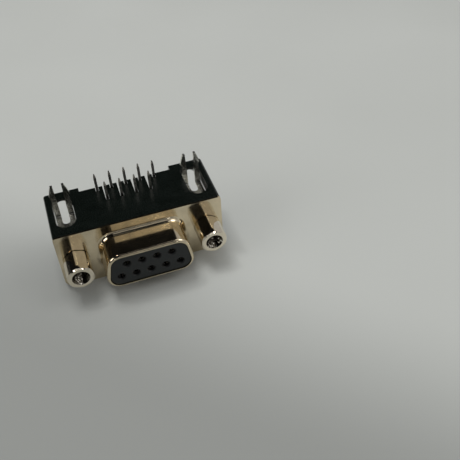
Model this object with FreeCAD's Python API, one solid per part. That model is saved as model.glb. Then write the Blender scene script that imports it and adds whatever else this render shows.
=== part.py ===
"""Nine-way right-angle D-sub socket connector, in millimetres.

The loose part lies on its top edge, as it comes to rest on a table: the solder
tails and board locks point up.
X runs along the width, Y runs back from the mating face, Z points to the board side.
The origin is the centre of the D on the front face of the flange.
"""
import FreeCAD, Part
import math
import os

from FreeCAD import Vector

# Flange of the steel shell, which the plastic bar behind it follows
flange_past_screw = 3.105
flange_height = 12.5
shell_sheet = 0.4
board_corner_radius = 0.5
top_corner_radius = 1.6
screw_spacing = 24.99

# Drawn D collar: the wide row of five holes lies on the side away from the board
collar_width = 16.33
collar_height = 7.9
collar_depth = 5.9
collar_corner_radius = 2.6
collar_side_angle = 10.0
collar_root_radius = 0.8
collar_lip = 0.15
collar_rim_flat = 0.05

# Contact grid
contact_pitch = 2.77
row_spacing = 2.84
wide_row_count = 5

# Socket contact, from the split sleeve to the tapered tail
sleeve_radius = 0.85
sleeve_bore_radius = 0.52
sleeve_bore_depth = 4.4
sleeve_slit_width = 0.2
sleeve_slit_depth = 3.4
sleeve_length = 4.9
neck_radius = 0.55
neck_taper = 0.5
tail_width = 0.5
tail_thickness = 0.35
tail_bend_radius = 0.5
tail_tip_taper = 0.8
tail_tip_share = 0.45
tail_length_past_board_face = 3.75
near_tail_depth = 7.7
tail_row_spacing = 2.84

# Front insulator that fills the collar
insulator_face_recess = 0.15
insulator_face_thickness = 0.7
pin_hole_radius = 0.65
pin_hole_countersink = 0.2
insulator_rim_radius = 0.2
insulator_back_margin = 0.25
insulator_back_length = 4.1
insulator_corner_radius = 0.6

# Moulded housing: bar behind the flange, hood over the tails, two board-side ears
bar_depth = 3.5
bar_slope_depth = 1.0
hood_half_width = 7.66
hood_drop = 0.55
hood_wall = 0.86
hood_roof = 0.8
hood_edge_radius = 0.3
comb_half_width = 8.9
comb_room_behind_tail = 0.585
comb_thickness = 2.5
near_groove_lead = 0.8
far_groove_lead = 0.55
ear_height = 2.75
ear_back_wall = 2.3
slot_front_depth = 2.4
slot_room_behind_prong = 1.03
scoop_angle = 38.0
scoop_sill = 0.45
ear_corner_radius = 0.4

# Jackscrew: hexagonal standoff in front, threaded stud through flange and bar
hex_across_flats = 4.75
hex_length = 4.8
hex_end_radius = 2.2
hex_end_angle = 30.0
left_hex_turn = 42.0
right_hex_turn = 26.0
stud_radius = 1.42
stud_length = 7.0
stud_end_chamfer = 0.3
standoff_bore_radius = 1.15
standoff_bore_depth = 4.2
standoff_countersink = 0.48

# Board lock: tapped plate behind the bar, leg plate and two barbed prongs
lock_sheet = 0.5
lock_bend_radius = 0.4
lock_width = 3.5
lock_plate_width = 4.4
lock_plate_rise = 2.7
lock_plate_corner_radius = 1.4
lock_boss_wall = 0.5
lock_boss_length = 1.2
lock_window_width = 1.45
lock_window_start = 6.4
lock_prong_depth = 9.12
lock_prong_past_board_face = 4.45
lock_barb_height = 2.2
lock_barb_spread = 0.12
lock_neck_start = 0.2
lock_neck_inset = 0.15
lock_barb_bulge = 0.06
lock_tip_width = 0.4
lock_tip_spread = 0.1

# Clearances
moulding_clearance = 0.05
contact_clearance = 0.1
screw_clearance = 0.13
thread_clearance = 0.03
lock_slot_clearance = 0.1
tail_groove_clearance = 0.075

# Places worked out from the sizes above
flange_width = screw_spacing + 2 * flange_past_screw
board_face = flange_height / 2
top_edge = -flange_height / 2
hood_top = top_edge + hood_drop
screw_half_spacing = screw_spacing / 2
wide_row = -row_spacing / 2
narrow_row = row_spacing / 2
collar_rim_radius = shell_sheet + collar_lip - collar_rim_flat
insulator_face = -(collar_depth - insulator_face_recess)
insulator_back = shell_sheet + insulator_back_length
contact_bore_radius = sleeve_radius + contact_clearance
far_tail_depth = near_tail_depth + tail_row_spacing
comb_depth = far_tail_depth + tail_thickness / 2 + comb_room_behind_tail
tail_top = board_face + tail_length_past_board_face
comb_face = board_face - comb_thickness
ear_floor = board_face - ear_height
slot_back_depth = lock_prong_depth + lock_sheet / 2 + slot_room_behind_prong
ear_depth = slot_back_depth + ear_back_wall
screw_hole_radius = stud_radius + screw_clearance
lock_slot_width = lock_width + 2 * lock_slot_clearance
lock_hole_radius = stud_radius + thread_clearance
lock_boss_radius = lock_hole_radius + lock_boss_wall

ALONG_Y = Vector(0, 1, 0)
ALONG_Z = Vector(0, 0, 1)


def block(x0, x1, y0, y1, z0, z1):
    """Box between two corners."""
    return Part.makeBox(x1 - x0, y1 - y0, z1 - z0, Vector(x0, y0, z0))


def rod(radius, x, z, y0, y1):
    """Round bar along Y."""
    return Part.makeCylinder(radius, y1 - y0, Vector(x, y0, z), ALONG_Y)


def cone(radius0, radius1, x, z, y0, y1):
    """Conical bar along Y."""
    return Part.makeCone(radius0, radius1, y1 - y0, Vector(x, y0, z), ALONG_Y)


def plate_face(points):
    """Flat face with straight edges through the points."""
    return Part.Face(Part.makePolygon(points + points[:1]))


def edges_along(shape, direction, keep):
    """Straight edges of a shape that run along a direction and pass a test on their middle."""
    found = []
    for edge in shape.Edges:
        if not isinstance(edge.Curve, Part.Line):
            continue
        run = edge.Vertexes[1].Point - edge.Vertexes[0].Point
        if run.cross(direction).Length > 1e-6 * run.Length:
            continue
        if keep(edge.CenterOfMass):
            found.append(edge)
    return found


def edges_in_plane(shape, y):
    """All edges of a shape that lie in the plane across Y."""
    return [
        edge for edge in shape.Edges
        if abs(edge.BoundBox.YMin - y) < 1e-6 and abs(edge.BoundBox.YMax - y) < 1e-6
    ]


def fused(shapes):
    """One solid from shapes that meet."""
    return shapes[0].multiFuse(shapes[1:]).removeSplitter()


def single(shape):
    """The one solid that a boolean result holds."""
    return shape.Solids[0] if len(shape.Solids) == 1 else shape


def screw_places():
    """X of the left and the right jackscrew axis."""
    return (-screw_half_spacing, screw_half_spacing)


def arc_through(start, middle, end):
    """Round edge through three points."""
    return Part.Arc(start, middle, end).toShape()


def contact_places():
    """X, row height and tail depth of every contact, the wide row first."""
    places = []
    for row, count, depth in (
        (wide_row, wide_row_count, far_tail_depth),
        (narrow_row, wide_row_count - 1, near_tail_depth),
    ):
        for index in range(count):
            x = (index - (count - 1) / 2) * contact_pitch
            places.append((x, row, depth))
    return places


def d_prism(inset, y0, y1):
    """D-shaped bar along Y, set in from the outside of the collar."""
    angle = math.radians(collar_side_angle)
    half_height = collar_height / 2
    side = (
        collar_corner_radius
        + (collar_width / 2 - collar_corner_radius) * math.cos(angle)
        + (collar_corner_radius - half_height) * math.sin(angle)
    )

    def corner(z):
        return (side - inset - z * math.sin(angle)) / math.cos(angle)

    low = inset - half_height
    high = half_height - inset
    outline = plate_face([
        Vector(-corner(low), y0, low),
        Vector(corner(low), y0, low),
        Vector(corner(high), y0, high),
        Vector(-corner(high), y0, high),
    ])
    prism = outline.extrude(Vector(0, y1 - y0, 0))
    return prism.makeFillet(
        collar_corner_radius - inset, edges_along(prism, ALONG_Y, lambda middle: True)
    )


def flange_bar(y0, y1):
    """Bar with the flange's outline: small corners to the board, larger ones at the top."""
    bar = block(-flange_width / 2, flange_width / 2, y0, y1, top_edge, board_face)
    bar = bar.makeFillet(
        board_corner_radius, edges_along(bar, ALONG_Y, lambda middle: middle.z > 0)
    )
    return bar.makeFillet(
        top_corner_radius,
        edges_along(bar, ALONG_Y, lambda middle: middle.z < top_edge + board_corner_radius / 2),
    )


def shell():
    """Plated steel shell: flange and drawn D collar with a turned-in lip."""
    collar = d_prism(0, -collar_depth, shell_sheet)
    collar = collar.makeFillet(collar_rim_radius, edges_in_plane(collar, -collar_depth))
    body = flange_bar(0, shell_sheet).fuse(collar).removeSplitter()
    root = [
        edge for edge in edges_in_plane(body, 0)
        if abs(edge.CenterOfMass.z) < collar_height / 2 + collar_root_radius
        and abs(edge.CenterOfMass.x) < collar_width / 2 + collar_root_radius
    ]
    body = body.makeFillet(collar_root_radius, root)
    inside = d_prism(shell_sheet, shell_sheet - collar_depth, shell_sheet)
    body = body.cut(inside)
    entry = [
        edge for edge in edges_in_plane(body, shell_sheet)
        if abs(edge.CenterOfMass.z) < collar_height / 2
        and abs(edge.CenterOfMass.x) < collar_width / 2
    ]
    body = body.makeFillet(collar_root_radius + shell_sheet, entry)
    body = body.cut(d_prism(shell_sheet + collar_lip, -collar_depth, shell_sheet))
    for x in screw_places():
        body = body.cut(rod(screw_hole_radius, x, 0, 0, shell_sheet))
    return single(body)


def rounded_block(half_width, half_height, y0, y1, radius):
    """Block around the D axis with rounded long edges."""
    body = block(-half_width, half_width, y0, y1, -half_height, half_height)
    return body.makeFillet(radius, edges_along(body, ALONG_Y, lambda middle: True))


def insulator_back_half_width():
    """Half width of the insulator's back, which spans the wide row."""
    span = (wide_row_count - 1) / 2 * contact_pitch
    return span + contact_bore_radius + insulator_back_margin


def insulator_back_half_height():
    """Half height of the insulator's back, which spans both rows."""
    return row_spacing / 2 + contact_bore_radius + insulator_back_margin


def insulator():
    """Insert with a D front behind the collar's lip, a narrower back and nine stepped bores."""
    inset = shell_sheet + moulding_clearance
    shoulder = shell_sheet - collar_depth + moulding_clearance
    front = d_prism(inset + collar_lip, insulator_face, shoulder)
    body = fused([
        front.makeFillet(insulator_rim_radius, edges_in_plane(front, insulator_face)),
        d_prism(inset, shoulder, shell_sheet),
        rounded_block(
            insulator_back_half_width(),
            insulator_back_half_height(),
            shell_sheet,
            insulator_back,
            insulator_corner_radius,
        ),
    ])
    bore_start = insulator_face + insulator_face_thickness
    tools = []
    for x, row, _ in contact_places():
        tools.append(rod(pin_hole_radius, x, row, insulator_face, bore_start))
        tools.append(cone(
            pin_hole_radius + pin_hole_countersink,
            pin_hole_radius,
            x,
            row,
            insulator_face,
            insulator_face + pin_hole_countersink,
        ))
        tools.append(rod(contact_bore_radius, x, row, bore_start, insulator_back))
    return single(body.cut(Part.makeCompound(tools)))


def comb_groove(x, tail_depth, lead):
    """Round-ended groove in the comb, open to the back, around one tail."""
    half = tail_width / 2 + tail_groove_clearance
    front = tail_depth - lead
    channel = block(x - half, x + half, front + half, comb_depth, comb_face, board_face)
    end = Part.makeCylinder(half, comb_thickness, Vector(x, front + half, comb_face), ALONG_Z)
    return channel.fuse(end)


def lock_slot(x):
    """Slot through an ear for the board lock's prongs, with its sloping scoop at the back."""
    half = lock_slot_width / 2
    start = slot_front_depth + half
    channel = block(x - half, x + half, start, slot_back_depth, ear_floor, board_face)
    front = Part.makeCylinder(half, ear_height, Vector(x, start, ear_floor), ALONG_Z)
    slope = math.radians(scoop_angle)
    reach = ear_height / math.sin(slope)
    run = Vector(0, math.cos(slope), -math.sin(slope))
    sill = Vector(x, slot_back_depth, board_face - scoop_sill)
    axis = sill - Vector(0, math.sin(slope), math.cos(slope)) * half
    scoop = Part.makeCylinder(half, 2 * reach, axis - run * reach / 2, run)
    keep = block(
        x - half, x + half, start, ear_depth, ear_floor - ear_height, board_face - scoop_sill
    )
    return fused([channel, front, scoop.common(keep)])


def housing():
    """Black moulding: bar, hood open at the back, comb around the tails and two ears."""
    bar = flange_bar(shell_sheet, bar_depth)
    slope = plate_face([
        Vector(-flange_width, bar_depth, top_edge),
        Vector(-flange_width, bar_depth - bar_slope_depth, top_edge),
        Vector(-flange_width, bar_depth, hood_top),
    ]).extrude(Vector(2 * flange_width, 0, 0))
    hood = block(-hood_half_width, hood_half_width, bar_depth, comb_depth, hood_top, board_face)
    hood = hood.makeFillet(
        hood_edge_radius,
        edges_along(hood, ALONG_Y, lambda middle: middle.z < hood_top + hood_edge_radius),
    )
    comb = block(-comb_half_width, comb_half_width, bar_depth, comb_depth, comb_face, board_face)
    frame = block(
        -flange_width / 2, flange_width / 2, bar_depth, ear_depth, ear_floor, board_face
    )
    frame = frame.makeFillet(
        board_corner_radius, edges_along(frame, ALONG_Y, lambda middle: middle.z > ear_floor)
    )
    frame = frame.makeFillet(
        ear_corner_radius, edges_along(frame, ALONG_Z, lambda middle: middle.y > bar_depth)
    )
    between = block(
        -comb_half_width,
        comb_half_width,
        comb_depth,
        comb_depth + ear_depth,
        ear_floor,
        board_face,
    )
    body = fused([bar.cut(slope), hood, comb, frame.cut(between)])
    cavity_half = hood_half_width - hood_wall
    tools = [
        block(
            -cavity_half, cavity_half, bar_depth, comb_depth, hood_top + hood_roof, comb_face
        ),
        rounded_block(
            insulator_back_half_width() + moulding_clearance,
            insulator_back_half_height() + moulding_clearance,
            shell_sheet,
            bar_depth,
            insulator_corner_radius,
        ),
    ]
    for x, row, depth in contact_places():
        lead = near_groove_lead if row == narrow_row else far_groove_lead
        tools.append(comb_groove(x, depth, lead))
    for x in screw_places():
        tools.append(rod(screw_hole_radius, x, 0, shell_sheet, bar_depth))
        tools.append(rod(
            lock_boss_radius + moulding_clearance,
            x,
            0,
            bar_depth - lock_boss_length - moulding_clearance,
            bar_depth,
        ))
        tools.append(lock_slot(x))
    for tool in tools:
        body = body.cut(tool)
    return single(body)


def tail(x, row, depth):
    """Flat tail: back from the barrel, round the bend and through the comb to a tapered tip."""
    half_width = tail_width / 2
    half = tail_thickness / 2
    centre = tail_bend_radius + half
    bend_y = depth - centre
    bend_z = row + centre
    back = block(x - half_width, x + half_width, insulator_back, bend_y, row - half, row + half)
    section = plate_face([
        Vector(x - half_width, bend_y, row - half),
        Vector(x + half_width, bend_y, row - half),
        Vector(x + half_width, bend_y, row + half),
        Vector(x - half_width, bend_y, row + half),
    ])
    bend = section.revolve(Vector(x, bend_y, bend_z), Vector(1, 0, 0), 90)
    taper_start = tail_top - tail_tip_taper
    rise = block(
        x - half_width, x + half_width, depth - half, depth + half, bend_z, taper_start
    )

    def ring(share, z):
        return Part.makePolygon([
            Vector(x - half_width * share, depth - half * share, z),
            Vector(x + half_width * share, depth - half * share, z),
            Vector(x + half_width * share, depth + half * share, z),
            Vector(x - half_width * share, depth + half * share, z),
            Vector(x - half_width * share, depth - half * share, z),
        ])

    tip = Part.makeLoft([ring(1, taper_start), ring(tail_tip_share, tail_top)], True, True)
    return [back, bend, rise, tip]


def contact(x, row, depth):
    """Socket contact: split spring sleeve, neck and bent tail."""
    front = insulator_face + insulator_face_thickness + moulding_clearance
    sleeve_end = front + sleeve_length
    neck_end = insulator_back + tail_thickness
    profile = [
        (sleeve_bore_radius, front),
        (sleeve_radius, front),
        (sleeve_radius, sleeve_end),
        (neck_radius, sleeve_end + neck_taper),
        (neck_radius, neck_end),
        (0, neck_end),
        (0, front + sleeve_bore_depth),
        (sleeve_bore_radius, front + sleeve_bore_depth),
    ]
    half = plate_face([Vector(x + radius, y, row) for radius, y in profile])
    barrel = half.revolve(Vector(x, 0, row), ALONG_Y, 360)
    slit = block(
        x - sleeve_slit_width / 2,
        x + sleeve_slit_width / 2,
        front,
        front + sleeve_slit_depth,
        row - sleeve_radius,
        row + sleeve_radius,
    )
    return single(fused([barrel.cut(slit)] + tail(x, row, depth)))


def hexagon_bar(x, turn, y0, y1):
    """Hexagonal bar along Y, turned from a corner towards +X."""
    corner_radius = hex_across_flats / math.sqrt(3)
    points = []
    for index in range(6):
        angle = math.radians(60 * index + turn)
        points.append(Vector(
            x + corner_radius * math.cos(angle), y0, corner_radius * math.sin(angle)
        ))
    return plate_face(points).extrude(Vector(0, y1 - y0, 0))


def jackscrew(x, turn):
    """Hexagonal standoff with a threaded bore and a stud that holds flange and bar."""
    corner_radius = hex_across_flats / math.sqrt(3)
    slope = math.tan(math.radians(hex_end_angle))
    turned_length = (corner_radius - hex_end_radius) * slope
    turned = fused([
        cone(hex_end_radius, corner_radius, x, 0, -hex_length, turned_length - hex_length),
        rod(corner_radius, x, 0, turned_length - hex_length, -turned_length),
        cone(corner_radius, hex_end_radius, x, 0, -turned_length, 0),
    ])
    head = hexagon_bar(x, turn, -hex_length, 0).common(turned)
    stud = rod(stud_radius, x, 0, 0, stud_length - stud_end_chamfer).fuse(cone(
        stud_radius,
        stud_radius - stud_end_chamfer,
        x,
        0,
        stud_length - stud_end_chamfer,
        stud_length,
    ))
    bore = rod(standoff_bore_radius, x, 0, -hex_length, standoff_bore_depth - hex_length)
    countersink = cone(
        standoff_bore_radius + standoff_countersink,
        standoff_bore_radius,
        x,
        0,
        -hex_length,
        standoff_countersink - hex_length,
    )
    return single(fused([head, stud]).cut(bore.fuse(countersink)))


def lock_side_profile():
    """Side view of the bent sheet: nut plate, leg plate and prong, as a face across X."""
    inner = lock_bend_radius
    outer = lock_bend_radius + lock_sheet
    plate_front = bar_depth
    plate_back = bar_depth + lock_sheet
    leg_far = ear_floor
    leg_near = leg_far - lock_sheet
    prong_front = lock_prong_depth - lock_sheet / 2
    prong_back = lock_prong_depth + lock_sheet / 2
    top = board_face + lock_prong_past_board_face
    first = Vector(0, plate_back + inner, leg_near - inner)
    second = Vector(0, prong_front - inner, leg_far + inner)
    bend = math.sqrt(0.5)

    def point(y, z):
        return Vector(0, y, z)

    def arc(start, centre, radius, y_sign, z_sign, end):
        middle = centre + Vector(0, y_sign * radius * bend, z_sign * radius * bend)
        return arc_through(start, middle, end)

    def line(start, end):
        return Part.makeLine(start, end)

    outside = [
        point(plate_front, -lock_plate_rise),
        point(plate_front, leg_near - inner),
        point(plate_back + inner, leg_far),
        point(prong_front - inner, leg_far),
        point(prong_front, leg_far + inner),
        point(prong_front, top),
    ]
    inside = [
        point(prong_back, top),
        point(prong_back, leg_far + inner),
        point(prong_front - inner, leg_near),
        point(plate_back + inner, leg_near),
        point(plate_back, leg_near - inner),
        point(plate_back, -lock_plate_rise),
    ]
    edges = [
        line(outside[0], outside[1]),
        arc(outside[1], first, outer, -1, 1, outside[2]),
        line(outside[2], outside[3]),
        arc(outside[3], second, inner, 1, -1, outside[4]),
        line(outside[4], outside[5]),
        line(outside[5], inside[0]),
        line(inside[0], inside[1]),
        arc(inside[1], second, outer, 1, -1, inside[2]),
        line(inside[2], inside[3]),
        arc(inside[3], first, inner, -1, 1, inside[4]),
        line(inside[4], inside[5]),
        line(inside[5], outside[0]),
    ]
    return Part.Face(Part.Wire(edges))


def prong_zones(x):
    """Outlines of the two prongs seen along Y, as bars that trim the sheet."""
    half = lock_width / 2
    gap = lock_window_width / 2
    tip_inside = gap + lock_tip_spread
    tip_outside = tip_inside + lock_tip_width
    barb = half + lock_barb_spread
    top = board_face + lock_prong_past_board_face
    neck_start = board_face + lock_neck_start
    barb_top = board_face + lock_barb_height
    neck_middle = (half + barb) / 2 - lock_neck_inset
    bulge_middle = (barb + tip_outside) / 2 + lock_barb_bulge
    zones = []
    for side in (-1, 1):
        def point(across, z):
            return Vector(x + side * across, 0, z)

        edges = [
            Part.makeLine(point(gap, -flange_height), point(half, -flange_height)),
            Part.makeLine(point(half, -flange_height), point(half, neck_start)),
            arc_through(
                point(half, neck_start),
                point(neck_middle, (neck_start + barb_top) / 2),
                point(barb, barb_top),
            ),
            arc_through(
                point(barb, barb_top),
                point(bulge_middle, (barb_top + top) / 2),
                point(tip_outside, top),
            ),
            Part.makeLine(point(tip_outside, top), point(tip_inside, top)),
            Part.makeLine(point(tip_inside, top), point(gap, neck_start)),
            Part.makeLine(point(gap, neck_start), point(gap, -flange_height)),
        ]
        zones.append(Part.Face(Part.Wire(edges)).extrude(Vector(0, ear_depth, 0)))
    return zones


def board_lock(x):
    """Plated bracket: tapped nut plate with a boss, leg plate and barbed prongs."""
    wide = lock_side_profile()
    wide.translate(Vector(x - lock_plate_width, 0, 0))
    sheet = wide.extrude(Vector(2 * lock_plate_width, 0, 0))
    leg_level = ear_floor - lock_sheet - lock_bend_radius
    plate = block(
        x - lock_plate_width / 2,
        x + lock_plate_width / 2,
        bar_depth,
        bar_depth + lock_sheet,
        -lock_plate_rise,
        leg_level,
    )
    plate = plate.makeFillet(
        lock_plate_corner_radius,
        edges_along(plate, ALONG_Y, lambda middle: middle.z < 0),
    )
    leg_end = lock_window_start + lock_window_width / 2
    leg_zone = block(
        x - lock_width / 2, x + lock_width / 2, bar_depth, leg_end, leg_level, ear_floor
    )
    window_end = Part.makeCylinder(
        lock_window_width / 2, flange_height, Vector(x, leg_end, 0), ALONG_Z
    )
    prong_zone = block(
        x - lock_plate_width,
        x + lock_plate_width,
        leg_end,
        ear_depth,
        leg_level,
        board_face + lock_prong_past_board_face,
    )
    prongs = [sheet.common(prong_zone).common(zone) for zone in prong_zones(x)]
    body = fused([plate, sheet.common(leg_zone).cut(window_end)] + prongs)
    boss = rod(lock_boss_radius, x, 0, bar_depth - lock_boss_length, bar_depth)
    hole = rod(lock_hole_radius, x, 0, bar_depth - lock_boss_length, bar_depth + lock_sheet)
    return single(fused([body, boss]).cut(hole))


def export(name, shape):
    """Write one sub-part."""
    shape.exportStep(os.path.join("parts", name + ".step"))


def main():
    """Build and write every sub-part."""
    os.makedirs("parts", exist_ok=True)
    export("shell", shell())
    export("insulator", insulator())
    export("housing", housing())
    for number, place in enumerate(contact_places(), start=1):
        export(f"contact_{number}", contact(*place))
    turns = (left_hex_turn, right_hex_turn)
    for side, x, turn in zip(("left", "right"), screw_places(), turns):
        export(f"jackscrew_{side}", jackscrew(x, turn))
        export(f"board_lock_{side}", board_lock(x))


main()
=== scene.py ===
import math

import bmesh
import bpy
from mathutils import Matrix, Vector


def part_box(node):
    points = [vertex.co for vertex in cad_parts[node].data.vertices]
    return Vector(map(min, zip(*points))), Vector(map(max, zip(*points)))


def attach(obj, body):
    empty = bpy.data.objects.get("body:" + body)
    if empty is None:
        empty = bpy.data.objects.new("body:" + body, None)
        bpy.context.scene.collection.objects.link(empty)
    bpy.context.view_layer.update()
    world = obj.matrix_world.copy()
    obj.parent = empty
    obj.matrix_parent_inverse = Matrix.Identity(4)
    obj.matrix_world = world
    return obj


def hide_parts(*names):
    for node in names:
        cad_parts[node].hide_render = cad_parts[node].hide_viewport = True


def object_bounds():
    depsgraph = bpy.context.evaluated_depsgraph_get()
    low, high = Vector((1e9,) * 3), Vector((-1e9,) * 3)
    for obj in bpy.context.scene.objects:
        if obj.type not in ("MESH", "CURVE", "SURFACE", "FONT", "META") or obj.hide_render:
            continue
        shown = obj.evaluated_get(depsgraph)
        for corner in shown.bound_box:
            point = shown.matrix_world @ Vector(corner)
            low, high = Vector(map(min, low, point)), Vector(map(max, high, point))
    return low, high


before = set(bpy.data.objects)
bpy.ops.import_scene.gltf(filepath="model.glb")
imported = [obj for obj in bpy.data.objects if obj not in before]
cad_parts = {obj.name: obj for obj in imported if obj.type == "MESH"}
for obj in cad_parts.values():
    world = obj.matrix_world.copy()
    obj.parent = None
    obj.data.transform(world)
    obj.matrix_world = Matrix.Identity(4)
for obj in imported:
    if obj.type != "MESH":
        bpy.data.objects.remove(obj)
cad_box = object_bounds()

MM = 0.001

# Camera fitted to the photograph, in millimetres and degrees
CAMERA_PLACE = Vector((-9.598, -87.073, 85.722)) * MM
CAMERA_FORWARD = Vector((0.20985, 0.68515, -0.69752))
CAMERA_RIGHT = Vector((0.94363, -0.32870, -0.03898))
CAMERA_LENS = 50.87
SENSOR_WIDTH = 36.0

# Jackscrew forms, in millimetres, as in the part's source
HEX_ACROSS_FLATS = 4.75
HEX_CORNER_ROUND = 0.2
HEX_LENGTH = 4.8
HEX_END_RADIUS = 2.2
HEX_END_ANGLE = 30.0
HEX_TURNS = {"left": 42.0, "right": 26.0}
STANDOFF_BORE_DEPTH = 4.2
STANDOFF_COUNTERSINK = 0.48
BORE_END_CONE = 0.3
STUD_LENGTH = 7.0
STUD_END_CHAMFER = 0.3
STUD_END_ROUND = (0.05, 0.02)
THREAD_MINOR = 1.15
THREAD_MAJOR = 1.41
THREAD_PITCH = 0.635
THREAD_FLAT = 0.14
STANDOFF_MOUTH = THREAD_MINOR + STANDOFF_COUNTERSINK
SMOOTH_ANGLE = 28.0
POINTS_AROUND = 72
STEPS_PER_TURN = 10

# Pin holes, in millimetres, as in the part's source
PIN_PITCH = 2.77
ROW_SPACING = 2.84
WIDE_ROW_COUNT = 5
HOLE_SHADE_REACH = (0.66, 0.92)

# Studio: azimuth 0 is +Y and 90 is +X, in degrees; distances and sizes in metres
ROOM_LEVEL = 0.40
CARD_DISTANCE = 0.9
CARD_STEP = 5.0
TABLE_HALF_WIDTH = 3.0
TABLE_SHADE_REACH = (-36.0, 18.0)

# Dark cards: azimuth and elevation of their sides
CARDS = {
    "far_card": (-115, 26, 0, 66),
    "near_card": (-178, -115, -1, 60),
    "front_card": (156, 182, -1, 35),
    "top_card": (-178, 182, 54, 86),
}

# Soft lamps: azimuth, elevation, distance, width, height, brightness
LAMPS = {
    "key_lamp": (72, 62, 0.35, 0.2, 0.2, 0.9),
    "right_lamp": (105, 45, 0.6, 0.26, 0.26, 2.4),
    "front_strip": (179, 13, 0.6, 0.36, 0.05, 0.8),
    "front_spot": (165, 14, 0.6, 0.05, 0.05, 6.0),
    "side_spot": (-158, 8, 0.6, 0.05, 0.05, 8.0),
    "slot_spot": (-40, 68, 0.5, 0.04, 0.04, 40.0),
    "corner_spot": (165, 46, 0.6, 0.02, 0.02, 16.0),
    "window": (112, 42, 0.75, 0.60, 0.55, 0.25),
    "left_lamp": (-97, 31, 0.5, 0.28, 0.22, 3.0),
}

# Lamp that the metal does not mirror, in the same order
TABLE_LAMP = (-20, 76, 0.4, 0.15, 0.15, 9.0)


class Graph:
    """Node tree with short calls to add and join nodes."""

    def __init__(self, tree):
        self.tree = tree
        self.tree.nodes.clear()

    def add(self, kind, inputs=None, **settings):
        """New node of a kind, with its settings, and its inputs by name or number."""
        node = self.tree.nodes.new(kind)
        for name, value in settings.items():
            setattr(node, name, value)
        for name, value in (inputs or {}).items():
            self.feed(node.inputs[name], value)
        return node

    def feed(self, socket, value):
        """Join an output to an input socket, or set the socket's own value."""
        if isinstance(value, bpy.types.NodeSocket):
            self.tree.links.new(value, socket)
        elif isinstance(value, bpy.types.Node):
            self.tree.links.new(value.outputs[0], socket)
        else:
            socket.default_value = value

    def points(self, stretch=(1.0, 1.0, 1.0)):
        """Object coordinates in millimetres, squeezed along each axis."""
        place = self.add("ShaderNodeTexCoord")
        scale = [factor / MM for factor in stretch]
        return self.add("ShaderNodeMapping", {"Vector": place.outputs["Object"], "Scale": scale})

    def noise(self, scale, detail=3.0, roughness=0.5, stretch=(1.0, 1.0, 1.0)):
        """Noise with features per millimetre."""
        return self.add("ShaderNodeTexNoise", {
            "Vector": self.points(stretch),
            "Scale": scale,
            "Detail": detail,
            "Roughness": roughness,
        }).outputs["Fac"]

    def ramp(self, value, low, high, start=0.0, end=1.0, smooth=False):
        """Value moved from one range into another, evenly or with a smooth start and end."""
        inputs = {
            "Value": value,
            "From Min": low,
            "From Max": high,
            "To Min": start,
            "To Max": end,
        }
        kind = "SMOOTHSTEP" if smooth else "LINEAR"
        node = self.add("ShaderNodeMapRange", inputs, interpolation_type=kind)
        return node.outputs["Result"]

    def blend(self, factor, first, second):
        """Mix of two colours."""
        node = self.add("ShaderNodeMix", data_type="RGBA")
        self.feed(node.inputs["Factor"], factor)
        for socket, value in zip(
            [s for s in node.inputs if s.type == "RGBA"], (first, second)
        ):
            self.feed(socket, value)
        return next(s for s in node.outputs if s.type == "RGBA")

    def band(self, start, end, fade):
        """Mask of a slice across Y, in millimetres, with faded sides."""
        axes = self.add("ShaderNodeSeparateXYZ", {0: self.points()})
        rise = self.ramp(axes.outputs["Y"], start, start + fade)
        fall = self.ramp(axes.outputs["Y"], end - fade, end, 1.0, 0.0)
        return self.add("ShaderNodeMath", {0: rise, 1: fall}, operation="MULTIPLY")

    def nearest(self, axes):
        """Distance to the nearest of several axes along Y, each given by X and Z."""
        flat = self.points((1.0, 0.0, 1.0))
        least = None
        for x, z in axes:
            gap = self.add(
                "ShaderNodeVectorMath", {0: flat, 1: (x, 0.0, z)}, operation="DISTANCE"
            ).outputs["Value"]
            if least is not None:
                gap = self.add("ShaderNodeMath", {0: least, 1: gap}, operation="MINIMUM")
            least = gap
        return least

    def soft_edges(self, radius):
        """Normal that runs round sharp edges, with a radius in millimetres."""
        return self.add("ShaderNodeBevel", {"Radius": radius * MM}, samples=6)

    def bump(self, height, distance, strength, normal=None):
        """Bump of a height in millimetres over an earlier normal."""
        inputs = {"Height": height, "Distance": distance * MM, "Strength": strength}
        if normal is not None:
            inputs["Normal"] = normal
        return self.add("ShaderNodeBump", inputs)


def colour(red, green, blue):
    """Linear colour with full opacity."""
    return (red, green, blue, 1.0)


def new_material(name):
    """Empty node material and its graph."""
    material = bpy.data.materials.new(name)
    material.use_nodes = True
    return material, Graph(material.node_tree)


def close_material(graph, inputs, metallic=0.0):
    """Principled shader and output at the end of a material."""
    shader = graph.add("ShaderNodeBsdfPrincipled", {"Metallic": metallic, **inputs})
    graph.add("ShaderNodeOutputMaterial", {"Surface": shader.outputs["BSDF"]})


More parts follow.
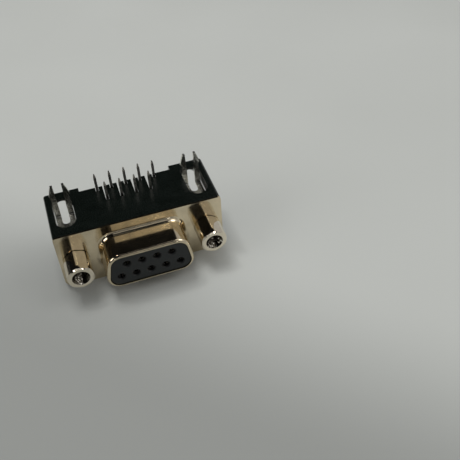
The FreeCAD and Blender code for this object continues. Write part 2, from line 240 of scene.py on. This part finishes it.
def plated_metal(
    name, clean, stained, dull, gloss, streaks, ripple, scratches, seam_shade=None, painted_glints=None
):
    """Plated metal: stains, drawing streaks, fine ripple, small scratches, a band of painted
    shade and painted glints.
    """
    material, graph = new_material(name)
    clouds = graph.noise(0.35, detail=4.0)
    spots = graph.noise(2.1, detail=6.0, roughness=0.65)
    tint = graph.blend(graph.ramp(clouds, 0.35, 0.7), clean, stained)
    tint = graph.blend(graph.ramp(spots, 0.58, 0.78, 0.0, 0.7), tint, dull)
    lines = graph.noise(4.0, detail=3.0, stretch=streaks)
    shine = graph.ramp(graph.noise(0.8, detail=5.0, roughness=0.6), 0.3, 0.75, *gloss)
    shine = graph.add(
        "ShaderNodeMath", {0: shine, 1: graph.ramp(lines, 0.5, 0.8, 0.0, 0.05)}, operation="ADD"
    )
    normal = graph.bump(graph.noise(0.9, detail=2.0), 0.05, ripple)
    normal = graph.bump(lines, 0.01, scratches, normal)
    normal = graph.bump(graph.noise(14.0, detail=2.0), 0.006, scratches, normal)
    # Painted shade: a near-black band across Y, where the part meets the next one
    if seam_shade:
        tint = graph.blend(graph.band(*seam_shade), tint, colour(0.02, 0.017, 0.013))
    # Painted glints: bright specks mixed into the colour
    if painted_glints:
        marks = graph.noise(3.0, detail=3.0, roughness=0.6)
        tint = graph.blend(graph.ramp(marks, 0.54, 0.6), tint, painted_glints)
    close_material(
        graph, {"Base Color": tint, "Roughness": shine, "Normal": normal}, metallic=1.0
    )
    return material


def moulded_plastic(name, dark, light, gloss, grain, edge, holes=()):
    """Glass-filled black plastic: flow marks, fine grain, short pale fibres at the skin, and
    painted shade round any holes.
    """
    material, graph = new_material(name)
    flow = graph.noise(0.28, detail=4.0, stretch=(1.0, 2.2, 1.0))
    fine = graph.noise(9.0, detail=4.0, roughness=0.6)
    tint = graph.blend(graph.ramp(flow, 0.3, 0.75), dark, light)
    fibres = graph.noise(7.0, detail=1.0, stretch=(3.5, 0.35, 3.5))
    fibre_mask = graph.ramp(fibres, 0.66, 0.8, 0.0, 0.35)
    tint = graph.blend(fibre_mask, tint, colour(0.03, 0.033, 0.035))
    # Painted shade round each pin hole
    if holes:
        reach = graph.ramp(graph.nearest(holes), *HOLE_SHADE_REACH)
        tint = graph.blend(reach, colour(0.001, 0.001, 0.001), tint)
    shine = graph.ramp(fine, 0.3, 0.75, *gloss)
    normal = graph.bump(flow, 0.08, 0.25, graph.soft_edges(edge))
    normal = graph.bump(fine, 0.02, grain, normal)
    close_material(graph, {"Base Color": tint, "Roughness": shine, "Normal": normal})
    return material


def pin_holes():
    """X and Z of the nine pin holes."""
    centres = []
    for z, count in ((-ROW_SPACING / 2, WIDE_ROW_COUNT), (ROW_SPACING / 2, WIDE_ROW_COUNT - 1)):
        for index in range(count):
            centres.append(((index - (count - 1) / 2) * PIN_PITCH, z))
    return centres


def pale_floor():
    """Matt pale table top with a faint cloudiness, and painted shadow that darkens it towards
    its front left.
    """
    material, graph = new_material("table_top")
    clouds = graph.noise(0.012, detail=3.0)
    tint = graph.blend(
        graph.ramp(clouds, 0.3, 0.7), colour(0.405, 0.415, 0.394), colour(0.435, 0.445, 0.424)
    )
    # Painted shadow: the table darkens towards its front left
    axes = graph.add("ShaderNodeSeparateXYZ", {0: graph.points()})
    diagonal = graph.add(
        "ShaderNodeMath", {0: axes.outputs["X"], 1: axes.outputs["Y"]}, operation="ADD"
    )
    shade = graph.ramp(diagonal.outputs[0], *TABLE_SHADE_REACH, smooth=True)
    tint = graph.blend(shade, colour(0.252, 0.259, 0.246), tint)
    shine = graph.ramp(graph.noise(0.4, detail=4.0), 0.3, 0.7, 0.8, 0.95)
    close_material(graph, {"Base Color": tint, "Roughness": shine, "Specular IOR Level": 0.15})
    return material


def finish_nodes(material, names):
    """Give CAD nodes a finished material."""
    for name in names:
        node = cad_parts[name]
        node.data.materials.clear()
        node.data.materials.append(material)


def hexagon_radius(angle):
    """Distance of the hexagon's outline, with rounded corners, at an angle from a corner."""
    flat = HEX_ACROSS_FLATS / 2
    from_flat = abs((math.degrees(angle) % 60.0) - 30.0)
    sharp = flat / math.cos(math.radians(from_flat))
    corner = flat / math.cos(math.radians(30.0))
    trimmed = corner - HEX_CORNER_ROUND
    blend = 0.5 * HEX_CORNER_ROUND
    if sharp < trimmed - blend:
        return sharp
    share = (sharp - trimmed + blend) / (corner - trimmed + blend)
    return trimmed - blend + share * blend


def thread_radius(angle, along):
    """Radius of the thread's flank at an angle and a distance along the axis."""
    phase = (along / THREAD_PITCH - angle / (2 * math.pi)) % 1.0
    wave = abs(2 * phase - 1)
    slope = min(max((wave - THREAD_FLAT) / (1 - 2 * THREAD_FLAT), 0.0), 1.0)
    return THREAD_MINOR + (THREAD_MAJOR - THREAD_MINOR) * slope


def jackscrew_rings():
    """Rings from the bottom of the bore, out over the hexagon, to the stud's end."""
    rings = []
    bore_end = STANDOFF_BORE_DEPTH - HEX_LENGTH
    bore_start = STANDOFF_COUNTERSINK - HEX_LENGTH
    steps = round((bore_end - bore_start) / THREAD_PITCH * STEPS_PER_TURN)
    rings.append(lambda angle: (0.0, bore_end + BORE_END_CONE))
    rings.append(lambda angle: (THREAD_MINOR, bore_end))
    for step in range(steps + 1):
        along = bore_end + (bore_start - bore_end) * step / steps
        rings.append(lambda angle, along=along: (thread_radius(angle, along), along))
    slope = math.tan(math.radians(HEX_END_ANGLE))
    rings.append(lambda angle: (STANDOFF_MOUTH, -HEX_LENGTH))
    rings.append(lambda angle: (HEX_END_RADIUS, -HEX_LENGTH))
    rings.append(lambda angle: (
        hexagon_radius(angle), (hexagon_radius(angle) - HEX_END_RADIUS) * slope - HEX_LENGTH
    ))
    rings.append(lambda angle: (
        hexagon_radius(angle), (HEX_END_RADIUS - hexagon_radius(angle)) * slope
    ))
    rings.append(lambda angle: (HEX_END_RADIUS, 0.0))
    rings.append(lambda angle: (THREAD_MAJOR, 0.0))
    thread_end = STUD_LENGTH - STUD_END_CHAMFER
    steps = round(thread_end / THREAD_PITCH * STEPS_PER_TURN)
    for step in range(steps + 1):
        along = thread_end * step / steps
        rings.append(lambda angle, along=along: (thread_radius(angle, along), along))
    inward, back = STUD_END_ROUND
    rings.append(lambda angle: (THREAD_MINOR, STUD_LENGTH - back))
    rings.append(lambda angle: (THREAD_MINOR - inward, STUD_LENGTH))
    rings.append(lambda angle: (0.0, STUD_LENGTH))
    return rings


def jackscrew(side, turn):
    """Jackscrew with rounded hexagon edges and real threads, in place of its plain solid."""
    low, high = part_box(f"jackscrew_{side}")
    x = (low.x + high.x) / 2 / MM
    mesh = bmesh.new()
    rings = []
    for ring in jackscrew_rings():
        row = []
        for index in range(POINTS_AROUND):
            angle = 2 * math.pi * index / POINTS_AROUND
            radius, along = ring(angle)
            around = angle + math.radians(turn)
            row.append(mesh.verts.new(Vector((
                x + radius * math.cos(around), along, radius * math.sin(around)
            )) * MM))
        rings.append(row)
    for first, second in zip(rings, rings[1:]):
        for index in range(POINTS_AROUND):
            after = (index + 1) % POINTS_AROUND
            mesh.faces.new((first[index], first[after], second[after], second[index]))
    bmesh.ops.remove_doubles(mesh, verts=mesh.verts, dist=1e-8)
    bmesh.ops.recalc_face_normals(mesh, faces=mesh.faces)
    data = bpy.data.meshes.new(f"jackscrew_{side}_turned")
    mesh.to_mesh(data)
    mesh.free()
    piece = bpy.data.objects.new(f"jackscrew_{side}_turned", data)
    bpy.context.scene.collection.objects.link(piece)
    data.polygons.foreach_set("use_smooth", [True] * len(data.polygons))
    data.set_sharp_from_angle(angle=math.radians(SMOOTH_ANGLE))
    # Faces inside the bore take the second material, which paints shade and glints
    for face in data.polygons:
        across = math.hypot(face.center.x / MM - x, face.center.z / MM)
        before_end = face.center.y < 0.99 * (STANDOFF_BORE_DEPTH - HEX_LENGTH) * MM
        face.material_index = int(across < STANDOFF_MOUTH and before_end)
    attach(piece, "root")
    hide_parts(f"jackscrew_{side}")
    return piece


def add_floor():
    """Table top under the connector."""
    low, _ = cad_box
    size = TABLE_HALF_WIDTH
    data = bpy.data.meshes.new("table")
    corners = [(-size, -size), (size, -size), (size, size), (-size, size)]
    data.from_pydata([(x, y, low.z) for x, y in corners], [], [(0, 1, 2, 3)])
    table = bpy.data.objects.new("table", data)
    data.materials.append(pale_floor())
    bpy.context.scene.collection.objects.link(table)


def direction(azimuth, elevation):
    """Unit vector: azimuth 0 is +Y and 90 is +X, in degrees."""
    turn = math.radians(azimuth)
    rise = math.radians(elevation)
    return Vector((
        math.sin(turn) * math.cos(rise), math.cos(turn) * math.cos(rise), math.sin(rise)
    ))


def soft_lamp(name, azimuth, elevation, distance, width, height, radiance):
    """Square soft lamp that faces the connector."""
    lamp = bpy.data.lights.new(name, "AREA")
    lamp.shape = "RECTANGLE"
    lamp.size = width
    lamp.size_y = height
    lamp.energy = radiance * math.pi * width * height
    holder = bpy.data.objects.new(name, lamp)
    toward = direction(azimuth, elevation)
    holder.location = toward * distance
    holder.rotation_mode = "QUATERNION"
    holder.rotation_quaternion = (-toward).to_track_quat("-Z", "Y")
    bpy.context.scene.collection.objects.link(holder)
    return holder


def room_light():
    """World of an even pale grey."""
    world = bpy.data.worlds.new("room")
    world.use_nodes = True
    bpy.context.scene.world = world
    graph = Graph(world.node_tree)
    pale = colour(ROOM_LEVEL, ROOM_LEVEL, ROOM_LEVEL)
    background = graph.add("ShaderNodeBackground", {"Color": pale, "Strength": 1.0})
    graph.add("ShaderNodeOutputWorld", {"Surface": background})


def dark_cloth():
    """Black cloth of the studio cards."""
    material, graph = new_material("dark_cloth")
    weave = graph.noise(0.05, detail=3.0)
    tint = graph.blend(weave, colour(0.012, 0.012, 0.013), colour(0.02, 0.02, 0.021))
    close_material(graph, {"Base Color": tint, "Roughness": 0.9, "Specular IOR Level": 0.1})
    return material


def dark_card(name, cloth, west, east, low, high):
    """Bent card that keeps light from a part of the room off the metal."""
    columns = round((east - west) / CARD_STEP)
    rows = round((high - low) / CARD_STEP)
    points = []
    for row in range(rows + 1):
        for column in range(columns + 1):
            points.append(CARD_DISTANCE * direction(
                west + (east - west) * column / columns, low + (high - low) * row / rows
            ))
    faces = []
    for row in range(rows):
        for column in range(columns):
            first = row * (columns + 1) + column
            faces.append((first, first + 1, first + columns + 2, first + columns + 1))
    data = bpy.data.meshes.new(name)
    data.from_pydata(points, [], faces)
    data.materials.append(cloth)
    card = bpy.data.objects.new(name, data)
    card.visible_camera = False
    card.visible_diffuse = False
    card.visible_shadow = False
    bpy.context.scene.collection.objects.link(card)


def add_camera():
    """Camera at the photograph's place."""
    data = bpy.data.cameras.new("photo_camera")
    data.sensor_width = SENSOR_WIDTH
    data.lens = CAMERA_LENS
    data.clip_start = 0.005
    camera = bpy.data.objects.new("photo_camera", data)
    back = -CAMERA_FORWARD.normalized()
    right = (CAMERA_RIGHT - back * CAMERA_RIGHT.dot(back)).normalized()
    up = back.cross(right)
    camera.matrix_world = Matrix.Translation(CAMERA_PLACE) @ Matrix(
        (right, up, back)
    ).transposed().to_4x4()
    bpy.context.scene.collection.objects.link(camera)
    bpy.context.scene.camera = camera


shell_metal = plated_metal(
    "shell_plating",
    clean=colour(0.78, 0.67, 0.48),
    stained=colour(0.62, 0.53, 0.375),
    dull=colour(0.42, 0.36, 0.26),
    gloss=(0.09, 0.17),
    streaks=(6.0, 0.3, 6.0),
    ripple=0.12,
    scratches=0.12,
)
screw_metal = plated_metal(
    "screw_nickel",
    clean=colour(0.84, 0.77, 0.64),
    stained=colour(0.76, 0.68, 0.54),
    dull=colour(0.50, 0.43, 0.33),
    gloss=(0.04, 0.1),
    streaks=(6.0, 0.3, 6.0),
    ripple=0.2,
    scratches=0.25,
    # Painted shade round the hexagon's base, where it meets the flange
    seam_shade=(-0.14, 0.3, 0.03),
)
# Nickel inside the threaded bore, painted dark as shade, with painted glints
bore_painted_shade_metal = plated_metal(
    "bore_nickel_painted_shade",
    clean=colour(0.15, 0.13, 0.10),
    stained=colour(0.09, 0.075, 0.055),
    dull=colour(0.03, 0.026, 0.02),
    gloss=(0.1, 0.2),
    streaks=(6.0, 0.3, 6.0),
    ripple=1.2,
    scratches=0.8,
    painted_glints=colour(0.85, 0.80, 0.70),
)
contact_metal = plated_metal(
    "contact_tin",
    clean=colour(0.86, 0.82, 0.76),
    stained=colour(0.74, 0.70, 0.63),
    dull=colour(0.45, 0.42, 0.37),
    gloss=(0.2, 0.36),
    streaks=(6.0, 6.0, 0.4),
    ripple=0.25,
    scratches=0.3,
)
lock_metal = plated_metal(
    "lock_tin",
    clean=colour(0.80, 0.79, 0.72),
    stained=colour(0.55, 0.55, 0.48),
    dull=colour(0.20, 0.20, 0.17),
    gloss=(0.16, 0.3),
    streaks=(6.0, 6.0, 0.4),
    ripple=2.2,
    scratches=1.0,
    # Painted glints on the bent tin
    painted_glints=colour(0.95, 0.93, 0.88),
)
black_plastic = moulded_plastic(
    "housing_moulding",
    dark=colour(0.0018, 0.0032, 0.0023),
    light=colour(0.0042, 0.0062, 0.005),
    gloss=(0.19, 0.32),
    grain=0.3,
    edge=0.09,
)
insert_plastic = moulded_plastic(
    "insulator_moulding",
    dark=colour(0.003, 0.005, 0.0053),
    light=colour(0.0055, 0.008, 0.0085),
    gloss=(0.4, 0.58),
    grain=0.3,
    edge=0.05,
    holes=pin_holes(),
)

finish_nodes(shell_metal, ["shell"])
finish_nodes(black_plastic, ["housing"])
finish_nodes(insert_plastic, ["insulator"])
finish_nodes(contact_metal, [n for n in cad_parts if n.startswith("contact_")])
finish_nodes(lock_metal, [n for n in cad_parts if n.startswith("board_lock_")])
for side, turn in HEX_TURNS.items():
    screw = jackscrew(side, turn)
    screw.data.materials.append(screw_metal)
    screw.data.materials.append(bore_painted_shade_metal)

add_floor()
room_light()
for name, settings in LAMPS.items():
    soft_lamp(name, *settings)
soft_lamp("table_lamp", *TABLE_LAMP).visible_glossy = False
cloth = dark_cloth()
for name, sides in CARDS.items():
    dark_card(name, cloth, *sides)
add_camera()

scene = bpy.context.scene
scene.view_settings.view_transform = "Standard"
